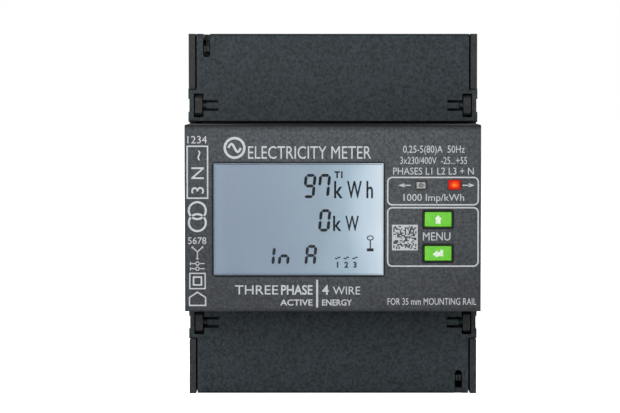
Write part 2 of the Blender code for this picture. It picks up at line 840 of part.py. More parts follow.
def main():
    clear_scene()
    shell = plastic("shell_grey", (0.055, 0.065, 0.072))
    block_plastic = plastic("terminal_grey", (0.12, 0.125, 0.13))
    latch_plastic = plastic("latch_black", (0.02, 0.02, 0.022))
    green = plastic("key_green", (0.12, 0.6, 0.05), 0.4)
    clear = plastic("window_clear", (0.8, 0.85, 0.88), 0.08, alpha=0.25)
    lcd_glass = plastic("lcd_glass", (0.35, 0.45, 0.55), 0.15)
    guide = plastic("guide_acrylic", (0.75, 0.85, 0.95), 0.2)
    white = plastic("frame_white", (0.7, 0.7, 0.68))
    lamp = plastic("lamp_red", (0.8, 0.12, 0.05), 0.25)
    circuit_green = plastic("circuit_green", (0.02, 0.16, 0.07), 0.4)
    switch_black = plastic("switch_black", (0.015, 0.015, 0.015))
    can = plastic("capacitor_sleeve", (0.03, 0.04, 0.09), 0.35)
    copper = plastic("copper", (0.72, 0.36, 0.2), 0.3, 1.0)
    tin = plastic("zinc_steel", (0.62, 0.62, 0.6), 0.3, 1.0)
    brass = plastic("plated_brass", (0.7, 0.65, 0.5), 0.3, 1.0)
    epoxy = plastic("coil_tape", (0.45, 0.3, 0.06), 0.6)

    rear_housing(shell)
    front_housing(shell)
    cover = terminal_cover("upper_terminal_cover", shell)
    lower_twin("lower_terminal_cover", cover)
    block = terminal_block("terminal_block_upper", block_plastic)
    lower_twin("terminal_block_lower", block)
    terminal_set(tin, brass)
    for i in range(3):
        x = cell_centres()[2 * i]
        current_bar(f"current_bar_{i + 1}", copper, x)
        current_transformer(f"current_transformer_{i + 1}", epoxy, x)
    display_stack(clear, lcd_glass, guide, white)
    for key, z in (("up", UP_KEY_Z), ("enter", ENTER_KEY_Z)):
        push_button(f"{key}_button", green, z)
        tactile_switch(key, switch_black, white, z)
    light_pipe("left_light_pipe", clear, LEFT_LAMP, LEFT_LAMP_HALF)
    light_pipe("right_light_pipe", lamp, RIGHT_LAMP, RIGHT_LAMP_HALF)
    circuit_boards(circuit_green)
    supply_capacitor(can)
    rail_latch(latch_plastic)
    latch_spring(tin)


main()
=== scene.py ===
"""Looks of a three-phase smart electric meter for a DIN rail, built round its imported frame.

The frame gives every shell, board, screw and key. This script finishes their edges and surfaces, adds
the printed markings, the display's figures, the small board parts and the latch spring's coil, and sets
up the studio. Sizes are in millimetres unless a name says otherwise. X runs right, y back and z up.
"""

import json
import math
import random

import bmesh
import bpy
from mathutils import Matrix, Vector

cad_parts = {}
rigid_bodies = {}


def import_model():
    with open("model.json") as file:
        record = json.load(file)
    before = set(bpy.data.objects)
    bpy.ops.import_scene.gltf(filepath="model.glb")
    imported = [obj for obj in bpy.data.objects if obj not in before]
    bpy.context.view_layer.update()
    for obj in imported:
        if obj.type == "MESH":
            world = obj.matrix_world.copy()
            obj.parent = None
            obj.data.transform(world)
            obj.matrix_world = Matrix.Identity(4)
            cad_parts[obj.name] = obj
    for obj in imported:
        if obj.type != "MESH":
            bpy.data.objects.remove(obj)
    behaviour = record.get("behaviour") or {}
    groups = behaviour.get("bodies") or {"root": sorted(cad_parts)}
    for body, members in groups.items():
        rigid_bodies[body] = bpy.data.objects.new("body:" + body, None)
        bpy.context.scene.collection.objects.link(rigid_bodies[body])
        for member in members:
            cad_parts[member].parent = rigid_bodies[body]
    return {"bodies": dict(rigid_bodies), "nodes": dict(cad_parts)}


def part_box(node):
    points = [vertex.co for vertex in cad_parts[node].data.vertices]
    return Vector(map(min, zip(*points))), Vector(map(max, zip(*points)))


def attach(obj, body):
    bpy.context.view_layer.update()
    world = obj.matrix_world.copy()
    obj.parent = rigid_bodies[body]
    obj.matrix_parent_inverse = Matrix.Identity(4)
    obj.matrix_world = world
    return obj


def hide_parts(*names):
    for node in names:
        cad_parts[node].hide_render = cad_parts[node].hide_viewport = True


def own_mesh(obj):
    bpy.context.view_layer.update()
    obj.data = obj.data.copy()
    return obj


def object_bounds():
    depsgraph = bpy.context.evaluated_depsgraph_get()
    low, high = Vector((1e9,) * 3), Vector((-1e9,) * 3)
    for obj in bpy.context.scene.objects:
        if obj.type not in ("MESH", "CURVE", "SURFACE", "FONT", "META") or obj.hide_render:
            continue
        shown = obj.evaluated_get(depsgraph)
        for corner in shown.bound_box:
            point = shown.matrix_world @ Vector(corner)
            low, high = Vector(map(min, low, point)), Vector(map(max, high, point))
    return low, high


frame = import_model()

MM = 0.001
STARTUP_KEPT = [*frame["nodes"].values(), *frame["bodies"].values()]
for obj in list(bpy.data.objects):
    if obj not in STARTUP_KEPT:
        bpy.data.objects.remove(obj)
CAD_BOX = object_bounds()


def span(node):
    """The lowest and highest corner of a CAD node in millimetres."""
    low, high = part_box(node)
    return low / MM, high / MM


def front_middle(node):
    """The middle of a CAD node across and up."""
    low, high = span(node)
    return (low.x + high.x) / 2, (low.z + high.z) / 2


NOSE_LOW, NOSE_HIGH = span("front_housing")
NOSE_FRONT = NOSE_LOW.y
GLASS_LOW, GLASS_HIGH = span("lcd_panel")
COVER_FRONT = span("upper_terminal_cover")[0].y
# The panel reaches this far behind the edge of the nose's opening.
GLASS_OVERLAP = 0.8
# The part of a key that shows in the nose.
KEY_WIDE, KEY_HIGH = 6.5, 3.55
SCREW_HEAD_DEPTH = 2.7

# A print stands this far proud of its face and reaches this far into it.
INK_PROUD = 0.02
INK_SUNK = 0.02
# Edges sharper than this are rounded.
SHARP = math.radians(35)

# Shader nodes.


def add(tree, kind, inputs=None, **settings):
    """Adds a node, from the shader nodes if its kind doesn't say. An input is a value or a socket."""
    made = tree.nodes.new(kind if "Node" in kind else "ShaderNode" + kind)
    for key, value in settings.items():
        setattr(made, key, value)
    for key, value in (inputs or {}).items():
        if isinstance(value, bpy.types.NodeSocket):
            tree.links.new(value, made.inputs[key])
        else:
            made.inputs[key].default_value = value
    return made


def calculated(tree, operation, *values):
    """The result of a maths operation on sockets and numbers."""
    inputs = dict(enumerate(values))
    return add(tree, "Math", inputs, operation=operation).outputs["Value"]


def place_of(tree):
    """The point on the object, in metres."""
    return add(tree, "TexCoord").outputs["Object"]


def axes_of(tree, vector=None):
    """The x, y and z parts of a vector, or of the point on the object."""
    return add(tree, "SeparateXYZ", {"Vector": vector or place_of(tree)}).outputs


def noise_of(tree, size, detail=2.0, roughness=0.5, vector=None):
    """Noise whose lumps are about this size across."""
    inputs = {
        "Vector": vector or place_of(tree),
        "Scale": 1 / (size * MM),
        "Detail": detail,
        "Roughness": roughness,
    }
    return add(tree, "TexNoise", inputs).outputs["Fac"]


def cells_of(tree, size, vector=None):
    """The distance to the nearest of scattered points that lie about this far apart."""
    inputs = {"Vector": vector or place_of(tree), "Scale": 1 / (size * MM)}
    return add(tree, "TexVoronoi", inputs).outputs["Distance"]


def remap(tree, value, low, high, to_low, to_high):
    """Stretches the range from low to high onto another one, and holds the value at its ends."""
    inputs = {
        "Value": value,
        "From Min": low,
        "From Max": high,
        "To Min": to_low,
        "To Max": to_high,
    }
    return add(tree, "MapRange", inputs).outputs["Result"]


def ramp(tree, value, stops):
    """A colour for each value, from (place, colour) stops."""
    made = add(tree, "ValToRGB", {"Fac": value})
    marks = made.color_ramp.elements
    while len(marks) < len(stops):
        marks.new(0.5)
    for mark, (place, colour) in zip(marks, stops):
        mark.position = place
        mark.color = (*colour, 1)
    return made.outputs["Color"]


def shaded(colour, factor):
    """The colour made darker or paler by a factor."""
    return tuple(channel * factor for channel in colour)


def mixed(tree, factor, first, second):
    """One colour or the other, by a factor from 0 to 1."""
    inputs = {"Fac": factor, "Color1": first, "Color2": second}
    return add(tree, "MixRGB", inputs).outputs["Color"]


def bumps(tree, *layers):
    """A normal made of (height, depth in millimetres) layers, one on the other."""
    normal = None
    for height, depth in layers:
        inputs = {"Height": height, "Distance": depth * MM, "Strength": 1.0}
        if normal:
            inputs["Normal"] = normal
        normal = add(tree, "Bump", inputs).outputs["Normal"]
    return normal


def unevenly(tree, value, size, drift):
    """A value that lumps of this size push up and down by as much as the drift."""
    lumps = remap(tree, noise_of(tree, size, detail=1.0), 0.3, 0.7, -drift, drift)
    return calculated(tree, "ADD", value, lumps)


def worn_edges(tree, radius, full):
    """1 along the edges and 0 on the flats. A lower full makes the change between them softer."""
    flat = 0.995
    softened = add(tree, "Bevel", {"Radius": radius * MM}, samples=6).outputs["Normal"]
    straight = add(tree, "NewGeometry").outputs["Normal"]
    inputs = {0: softened, 1: straight}
    likeness = add(tree, "VectorMath", inputs, operation="DOT_PRODUCT").outputs["Value"]
    return remap(tree, likeness, flat, full, 0.0, 1.0)


def away_from(tree, place, wide, high):
    """0 at a place in metres, and 1 at the edge of an ellipse round it, this wide and high."""
    inputs = {0: place_of(tree), 1: place}
    away = add(tree, "VectorMath", inputs, operation="SUBTRACT").outputs["Vector"]
    scale = (2 / (wide * MM), 0, 2 / (high * MM))
    flat = add(tree, "Mapping", {"Vector": away, "Scale": scale}).outputs["Vector"]
    return add(tree, "VectorMath", {0: flat}, operation="LENGTH").outputs["Value"]


def principled(name, colour, roughness, **sockets):
    """A material with a Principled shader, its node tree and the shader."""
    material = bpy.data.materials.new(name)
    material.use_nodes = True
    tree = material.node_tree
    shader = tree.nodes["Principled BSDF"]
    values = {"Base Color": (*colour, 1), "Roughness": roughness, **sockets}
    for key, value in values.items():
        shader.inputs[key].default_value = value
    return material, tree, shader


def feed(tree, shader, **sockets):
    """Links a colour, roughness or normal into the shader."""
    for key, value in sockets.items():
        tree.links.new(value, shader.inputs[key.replace("_", " ")])


# Materials.


# Painted shade along an edge: the radius of its band, how sharply the band starts and its tone.
FAINT_EDGE_SHADE = (0.35, 0.90, 0.72)
BROAD_EDGE_SHADE = (1.3, 0.80, 0.35)


def moulded(name, colour, roughness, grain=0.42, depth=0.012, contrast=0.55, edge_shade=FAINT_EDGE_SHADE):
    """Moulded plastic with a spark-eroded skin and faint flow marks, and painted shade darkening it
    along its edges.
    """
    material, tree, shader = principled(name, colour, roughness, **{"Specular IOR Level": 0.3})
    fine = noise_of(tree, grain, detail=3.0, roughness=0.6)
    pits = cells_of(tree, grain * 1.3)
    flow = noise_of(tree, 9.0, detail=3.0)
    speckle = noise_of(tree, grain * 1.5, detail=3.0, roughness=0.65)
    ends = [(0.36, shaded(colour, 1 - contrast)), (0.64, shaded(colour, 1 + 1.1 * contrast))]
    tone = ramp(tree, speckle, ends)
    broad = ramp(tree, flow, [(0.30, shaded(colour, 0.90)), (0.70, shaded(colour, 1.10))])
    body = mixed(tree, 0.3, tone, broad)
    patchy = remap(tree, noise_of(tree, 2.5, detail=4.0), 0.35, 0.65, 0.25, 0.9)
    radius, full, edge_tone = edge_shade
    # Painted shade: the edge band, broken into patches, darkens the colour along every edge.
    edge_shade_share = calculated(tree, "MULTIPLY", worn_edges(tree, radius, full), patchy)
    edge_shade_colour = (*shaded(colour, edge_tone), 1)
    skin = bumps(tree, (flow, 0.02), (pits, depth * 0.8), (fine, depth))
    sheen = remap(tree, fine, 0.3, 0.7, roughness - 0.06, roughness + 0.08)
    tint = mixed(tree, edge_shade_share, body, edge_shade_colour)
    feed(tree, shader, Base_Color=tint, Roughness=sheen, Normal=skin)
    return material


def nose_plastic(name, colour):
    """The nose's moulded plastic with painted light and shade: palest round the title, darker towards
    its ends and foot, and dark along its top rim.
    """
    material = moulded(name, colour, 0.62, edge_shade=BROAD_EDGE_SHADE)
    tree = material.node_tree
    shader = tree.nodes["Principled BSDF"]
    title, lit_wide, lit_high = (4.0 * MM, NOSE_FRONT * MM, 18.0 * MM), 68.0, 60.0
    most_falloff_shade, rim_shade, rim_shade_behind = 0.38, 0.75, 0.4
    # Painted shade: darker away from the title, as if the light fell off towards the nose's ends and
    # foot.
    reach = away_from(tree, title, lit_wide, lit_high)
    painted_falloff_shade = remap(tree, reach, 0.7, 1.45, 0.0, most_falloff_shade)
    _, depth, height = axes_of(tree)
    # Painted shade on the top rim near the front, as if the rim turned away from the light.
    rim_low, rim_high = (NOSE_HIGH.z - 1.5) * MM, (NOSE_HIGH.z - 0.3) * MM
    rim_front, rim_back = (NOSE_FRONT + 2.0) * MM, (NOSE_FRONT + 8.0) * MM
    high = remap(tree, height, rim_low, rim_high, 0.0, rim_shade)
    near = remap(tree, depth, rim_front, rim_back, 1.0, rim_shade_behind)
    share = calculated(tree, "MAXIMUM", painted_falloff_shade, calculated(tree, "MULTIPLY", high, near))
    unshaded = shader.inputs["Base Color"].links[0].from_socket
    feed(tree, shader, Base_Color=mixed(tree, share, unshaded, (0, 0, 0, 1)))
    return material


def metal(name, colour, roughness, grain=0.12, along=(1, 1, 1), tarnish=0.8):
    """Plated or bare metal with drawn scratches along one direction and dull patches."""
    material, tree, shader = principled(name, colour, roughness, Metallic=1.0)
    scaled = add(tree, "Mapping", {"Vector": place_of(tree), "Scale": along}).outputs["Vector"]
    scratches = noise_of(tree, grain, detail=3.0, vector=scaled)
    patches = noise_of(tree, 2.2, detail=4.0)
    tone = ramp(tree, patches, [(0.32, shaded(colour, tarnish)), (0.62, colour)])
    dull = remap(tree, patches, 0.3, 0.7, roughness + 0.16, roughness - 0.04)
    feed(tree, shader, Base_Color=tone, Roughness=dull, Normal=bumps(tree, (scratches, 0.006)))
    return material


def clear_plastic(name, tint, roughness, blackened=False):
    """Clear polycarbonate with faint ripples. Blackened paints its rim, as on a display window."""
    glassy = {"Transmission Weight": 1.0, "IOR": 1.49}
    material, tree, shader = principled(name, tint, roughness, **glassy)
    ripple = noise_of(tree, 6.0, detail=1.0)
    haze = remap(tree, noise_of(tree, 0.8, detail=4.0), 0.3, 0.7, roughness, roughness + 0.008)
    feed(tree, shader, Roughness=haze, Normal=bumps(tree, (ripple, 0.01)))
    if blackened:
        straight = add(tree, "NewGeometry").outputs["True Normal"]
        facing = calculated(tree, "ABSOLUTE", axes_of(tree, straight)["Y"])
        clear = remap(tree, facing, 0.90, 0.98, 0.0, 1.0)
        black = (0.004, 0.005, 0.006, 1)
        paint = mixed(tree, clear, black, (*tint, 1))
        gloss = remap(tree, clear, 0.0, 1.0, 0.0, 0.5)
        feed(tree, shader, Base_Color=paint, Transmission_Weight=clear, Specular_IOR_Level=gloss)
    return material


def backlit_panel(name):
    """The lit display: pale blue at the left, nearly white where the lamps are, at the right."""
    material, tree, shader = principled(name, (0.03, 0.035, 0.04), 0.25)
    across = remap(tree, axes_of(tree)["X"], GLASS_LOW.x * MM, GLASS_HIGH.x * MM, 0.0, 1.0)
    place = unevenly(tree, across, 14.0, 0.03)
    stops = [
        (0.00, (0.220, 0.290, 0.382)),
        (0.10, (0.185, 0.243, 0.332)),
        (0.42, (0.212, 0.282, 0.370)),
        (0.62, (0.245, 0.330, 0.405)),
        (0.78, (0.318, 0.434, 0.521)),
        (0.90, (0.500, 0.612, 0.708)),
        (1.00, (0.650, 0.745, 0.820)),
    ]
    feed(tree, shader, Emission_Color=ramp(tree, place, stops))
    shader.inputs["Emission Strength"].default_value = 1.0
    return material


def from_middle(tree, node, wide, high):
    """0 at the middle of a CAD node and 1 at the edge of an ellipse this wide and high round it."""
    return away_from(tree, sum(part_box(node), Vector()) / 2, wide, high)


def lit_lamp(name):
    """The lit red lamp window, orange over the hot middle."""
    dull = {"Specular IOR Level": 0.12}
    material, tree, shader = principled(name, (0.12, 0.006, 0.003), 0.3, **dull)
    place = unevenly(tree, from_middle(tree, "right_light_pipe", 2.4, 2.0), 0.45, 0.18)
    stops = [(0.05, (0.98, 0.30, 0.02)), (0.45, (0.95, 0.085, 0.004)), (1.0, (0.55, 0.008, 0.002))]
    feed(tree, shader, Emission_Color=ramp(tree, place, stops))
    shader.inputs["Emission Strength"].default_value = 0.95
    return material


def unlit_lamp(name):
    """The unlit lamp window: a pale rim round the dark chip behind it."""
    material, tree, shader = principled(name, (0.2, 0.2, 0.2), 0.2, **{"Coat Weight": 0.5})
    place = unevenly(tree, from_middle(tree, "left_light_pipe", 1.9, 1.6), 0.5, 0.15)
    stops = [(0.15, (0.3, 0.3, 0.3)), (0.4, (0.04, 0.04, 0.04)), (0.85, (0.34, 0.34, 0.34))]
    feed(tree, shader, Base_Color=ramp(tree, place, stops))
    return material


def key_plastic(name, colour):
    """Satin green key plastic that lets a little light through."""
    milky = {"Subsurface Weight": 0.15, "Subsurface Scale": 0.6 * MM}
    material, tree, shader = principled(name, colour, 0.42, **milky)
    cloud = noise_of(tree, 1.6, detail=3.0)
    tone = ramp(tree, cloud, [(0.3, shaded(colour, 0.88)), (0.7, shaded(colour, 1.1))])
    skin = bumps(tree, (noise_of(tree, 0.18, detail=2.0), 0.006))
    feed(tree, shader, Base_Color=tone, Roughness=remap(tree, cloud, 0.3, 0.7, 0.36, 0.5), Normal=skin)
    return material


def ink(name, colour, gloss=0.5):
    """Screen-printed ink, slightly uneven."""
    material, tree, shader = principled(name, colour, 0.6, **{"Specular IOR Level": gloss})
    cover = noise_of(tree, 0.5, detail=3.0)
    tone = ramp(tree, cover, [(0.3, shaded(colour, 0.82)), (0.65, colour)])
    feed(tree, shader, Base_Color=tone, Normal=bumps(tree, (cover, 0.005)))
    return material


def solder_mask(name):
    """Green solder mask over copper tracks and ground areas."""
    board, copper_under = (0.010, 0.085, 0.035), (0.030, 0.20, 0.075)
    material, tree, shader = principled(name, board, 0.28, **{"Coat Weight": 0.4})
    inputs = {
        "Vector": place_of(tree),
        "Scale": 1 / (5.0 * MM),
        "Mortar Size": 0.035,
        "Color1": (0, 0, 0, 1),
        "Color2": (0, 0, 0, 1),
        "Mortar": (1, 1, 1, 1),
    }
    tracks = add(tree, "TexBrick", inputs, offset=0.37, squash=0.6).outputs["Color"]
    cloud = noise_of(tree, 4.0, detail=2.0)
    ground = remap(tree, cloud, 0.52, 0.54, 0.0, 1.0)
    over = calculated(tree, "MAXIMUM", tracks, ground)
    tone = mixed(tree, over, (*board, 1), (*copper_under, 1))
    rough = remap(tree, noise_of(tree, 0.6), 0.3, 0.7, 0.24, 0.36)
    feed(tree, shader, Base_Color=tone, Roughness=rough, Normal=bumps(tree, (over, 0.03)))
    return material


def wound_tape(name, colour):
    """Polyester tape wound over a coil, with its lapped edges."""
    material, tree, shader = principled(name, colour, 0.3)
    inputs = {
        "Vector": place_of(tree),
        "Scale": 0.32 / MM / math.tau,
        "Distortion": 1.5,
        "Detail": 2.0,
    }
    laps = add(tree, "TexWave", inputs).outputs["Fac"]
    tone = ramp(tree, laps, [(0.1, shaded(colour, 0.7)), (0.35, colour)])
    rough = remap(tree, noise_of(tree, 1.1, detail=3.0), 0.3, 0.7, 0.25, 0.42)
    feed(tree, shader, Base_Color=tone, Roughness=rough, Normal=bumps(tree, (laps, 0.05)))
    return material


LOOKS = {
    "nose": nose_plastic("moulded_nose", (0.058, 0.065, 0.073)),
    # Painted shade: the rear housing is a darker copy of the nose plastic, as if its set-back side
    # strips got less light. Its more neutral tint is its own.
    "rear": moulded("moulded_rear_shaded", (0.024, 0.025, 0.025), 0.62),
    "cover": moulded("moulded_cover", (0.018, 0.028, 0.034), 0.60, depth=0.022, contrast=0.85),
    "terminal": moulded("moulded_terminal_block", (0.060, 0.064, 0.068), 0.5, grain=0.2),
    "latch": moulded("moulded_latch", (0.018, 0.019, 0.021), 0.42, grain=0.2),
    "switch": moulded("moulded_switch", (0.014, 0.014, 0.015), 0.36, grain=0.15),
    "ceramic": moulded("fired_ceramic", (0.36, 0.22, 0.12), 0.4, grain=0.15),
    "white": moulded("moulded_white", (0.62, 0.62, 0.60), 0.5, grain=0.2),
    "brass": metal("nickel_plated_brass", (0.64, 0.58, 0.45), 0.28, along=(1, 0.1, 1)),
    "zinc": metal("zinc_plated_steel", (0.60, 0.61, 0.60), 0.25, along=(0.2, 1, 1)),
    "copper": metal("bare_copper", (0.72, 0.34, 0.18), 0.3, along=(1, 1, 0.1), tarnish=0.6),
    "spring": metal("drawn_spring_wire", (0.55, 0.55, 0.54), 0.3, along=(0.1, 0.1, 1)),
    "window": clear_plastic("clear_window", (0.97, 0.985, 0.99), 0.0, blackened=True),
    "pipe": unlit_lamp("unlit_lamp_window"),
    "guide": clear_plastic("acrylic_guide", (0.92, 0.96, 0.98), 0.2),
    "panel": backlit_panel("backlit_display"),
    "lamp": lit_lamp("lit_red_lamp"),
    "key": key_plastic("green_key_plastic", (0.125, 0.56, 0.012)),
    "print": ink("pale_grey_ink", (0.54, 0.56, 0.58)),
    # Black that stands in for the shade round the display window and the keys.
    "shade_black": ink("painted_shade_black", (0.006, 0.008, 0.010), gloss=0.2),
    "key_print": ink("white_key_ink", (0.78, 0.88, 0.72)),
    "segment": ink("display_segment", (0.002, 0.006, 0.016), gloss=0.0),
    "board": solder_mask("solder_mask"),
    "tape": wound_tape("yellow_coil_tape", (0.50, 0.33, 0.05)),
    "sleeve": wound_tape("capacitor_sleeve", (0.03, 0.035, 0.05)),
}
# The look and the edge rounding of the nodes with this word in their names. The first that fits holds.
FINISHES = {
    "rear_housing": ("rear", 0.30),
    "front_housing": ("nose", 0.30),
    "terminal_cover": ("cover", 0.22),
    "terminal_block": ("terminal", 0.15),
    "latch_spring": ("spring", 0.2),
    "rail_latch": ("latch", 0.2),
    "button": ("key", 0.22),
    "window": ("window", 0.04),
    "left_light_pipe": ("pipe", 0.12),
    "right_light_pipe": ("lamp", 0.12),
    "board": ("board", 0.05),
    "lcd_panel": ("panel", 0.1),
    "lcd_frame": ("white", 0.1),
    "guide": ("guide", 0.0),
    "plunger": ("white", 0.1),
    "switch": ("switch", 0.12),
    "contact": ("brass", 0.08),
    "cage": ("brass", 0.15),
    "bar": ("copper", 0.1),
    "screw": ("zinc", 0.12),
    "capacitor": ("sleeve", 0.6),
    "transformer": ("tape", 0.5),
}
# A bigger rounding of a node's outer rim: the shortest edge that gets it, and its width.
RIMS = {"front_housing": (44.0, 0.9)}

# Edges of the CAD nodes.


def geometry_group(name):
    """A new geometry node group, and the geometry that comes into it."""
    tree = bpy.data.node_groups.new(name, "GeometryNodeTree")
    for way in ("INPUT", "OUTPUT"):
        tree.interface.new_socket("Geometry", in_out=way, socket_type="NodeSocketGeometry")
    return tree, add(tree, "NodeGroupInput").outputs[0]


def ended(tree, geometry):
    """The group, giving out this geometry."""
    add(tree, "NodeGroupOutput", {0: geometry})
    return tree


def sewn_group():
    """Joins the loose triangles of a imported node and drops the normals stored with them."""
    tree, geometry = geometry_group("sew_triangles")
    inputs = {"Geometry": geometry, "Distance": 0.002 * MM}
    merged = add(tree, "GeometryNodeMergeByDistance", inputs).outputs[0]
    inputs = {"Geometry": merged, "Name": "custom_normal"}
    return ended(tree, add(tree, "GeometryNodeRemoveAttribute", inputs).outputs[0])


def smoothed_group(angle):
    """Shades smooth, except over edges sharper than the angle."""
    tree, geometry = geometry_group("smooth_by_angle")
    bend = add(tree, "GeometryNodeInputMeshEdgeAngle").outputs["Unsigned Angle"]
    gentle = add(tree, "FunctionNodeCompare", {"A": bend, "B": angle}, operation="LESS_THAN")
    faces = add(tree, "GeometryNodeSetShadeSmooth", {"Geometry": geometry}).outputs[0]
    inputs = {"Geometry": faces, "Shade Smooth": gentle.outputs[0]}
    return ended(tree, add(tree, "GeometryNodeSetShadeSmooth", inputs, domain="EDGE").outputs[0])


def long_edge_group(name, shortest):
    """Marks the sharp edges longer than this many millimetres, for a bevel by weight."""
    tree, geometry = geometry_group(name)
    corners = add(tree, "GeometryNodeInputMeshEdgeVertices").outputs
    inputs = {0: corners["Position 1"], 1: corners["Position 2"]}
    reach = add(tree, "VectorMath", inputs, operation="DISTANCE").outputs["Value"]
    bend = add(tree, "GeometryNodeInputMeshEdgeAngle").outputs["Unsigned Angle"]
    tests = [
        add(tree, "FunctionNodeCompare", {"A": value, "B": least}, operation="GREATER_THAN")
        for value, least in ((reach, shortest * MM), (bend, SHARP))
    ]
    inputs = {0: tests[0].outputs[0], 1: tests[1].outputs[0]}
    both = add(tree, "FunctionNodeBooleanMath", inputs).outputs[0]
    inputs = {"Geometry": geometry, "Name": "bevel_weight_edge", "Value": both}
    marked = add(tree, "GeometryNodeStoreNamedAttribute", inputs, domain="EDGE").outputs[0]
    return ended(tree, marked)


SEWN = sewn_group()
SMOOTHED = smoothed_group(math.radians(40))


def with_group(obj, name, group):
    """Adds a geometry node group to an object as a modifier."""
    obj.modifiers.new(name, "NODES").node_group = group


def rounded_by(obj, name, width, segments, method):
    """Adds a bevel to the edges that the method picks, by their angle or by their weight."""
    rounding = obj.modifiers.new(name, "BEVEL")
    rounding.width = width * MM
    rounding.segments = segments
    rounding.limit_method = method
    rounding.angle_limit = SHARP
    rounding.miter_outer = "MITER_ARC"


def soften_edges(obj, width, segments=2):
    """Rounds an object's sharp edges and shades it smooth between them."""
    with_group(obj, "sew", SEWN)
    flats = obj.modifiers.new("join_flats", "DECIMATE")
    flats.decimate_type = "DISSOLVE"
    flats.angle_limit = math.radians(0.6)
    if obj.name in RIMS:
        shortest, rim_width = RIMS[obj.name]
        with_group(obj, "mark_rim", long_edge_group("mark_" + obj.name, shortest))
        rounded_by(obj, "round_rim", rim_width, 4, "WEIGHT")
    rounded_by(obj, "round_edges", width, segments, "ANGLE")
    with_group(obj, "smooth", SMOOTHED)
    level = obj.modifiers.new("level_flats", "WEIGHTED_NORMAL")
    level.weight = 100
    level.keep_sharp = True


def finish_node(name, obj):
    """Gives a CAD node its surface and its edge rounding."""
    look, width = next(finish for word, finish in FINISHES.items() if word in name)
    obj.data.materials.clear()
    obj.data.materials.append(LOOKS[look])
    if width:
        soften_edges(obj, width)


# Flat printed shapes.


def added(name, data):
    """A new object in the scene."""
    obj = bpy.data.objects.new(name, data)
    bpy.context.scene.collection.objects.link(obj)
    return obj


def drawn_text(words, bold=0.0):
    """The filled letters of one line as (points, faces), with the unit of the font."""
    curve = bpy.data.curves.new("letters", "FONT")
    curve.body = words
    curve.offset = bold
    curve.resolution_u = 3
    obj = added("letters", curve)
    bpy.context.view_layer.update()
    ready = obj.evaluated_get(bpy.context.evaluated_depsgraph_get())
    mesh = ready.to_mesh()
    points = [(v.co.x, v.co.y) for v in mesh.vertices]
    faces = [tuple(p.vertices) for p in mesh.polygons]
    ready.to_mesh_clear()
    bpy.data.objects.remove(obj)
    bpy.data.curves.remove(curve)
    return points, faces


# The height of a capital letter in the unit of the font.
CAP_UNIT = max(z for _, z in drawn_text("H")[0])


def arc(centre, radius, start, end, steps=12):
    """Points of an arc between two angles in degrees, both ends included."""
    rx, rz = radius if isinstance(radius, tuple) else (radius, radius)
    turns = [math.radians(start + (end - start) * i / steps) for i in range(steps + 1)]
    return [(centre[0] + rx * math.cos(t), centre[1] + rz * math.sin(t)) for t in turns]


def circle(centre, radius, steps):
    """Points all the way round. The radius is one number, or one each for x and z."""
    return arc(centre, radius, 0, 360, steps)[:-1]


def rounded(low, high, radius, steps=5):
    """The outline of a rectangle with round corners."""
    (x0, z0), (x1, z1) = low, high
    corners = [
        ((x1 - radius, z0 + radius), -90),
        ((x1 - radius, z1 - radius), 0),
        ((x0 + radius, z1 - radius), 90),
        ((x0 + radius, z0 + radius), 180),
    ]
    return [p for centre, turn in corners for p in arc(centre, radius, turn, turn + 90, steps)]


def wave(centre, width, height, steps=16):
    """One period of a sine, as points."""
    parts = [i / steps for i in range(steps + 1)]
    return [
        (centre[0] + width * (t - 0.5), centre[1] + height / 2 * math.sin(math.tau * t))
        for t in parts
    ]


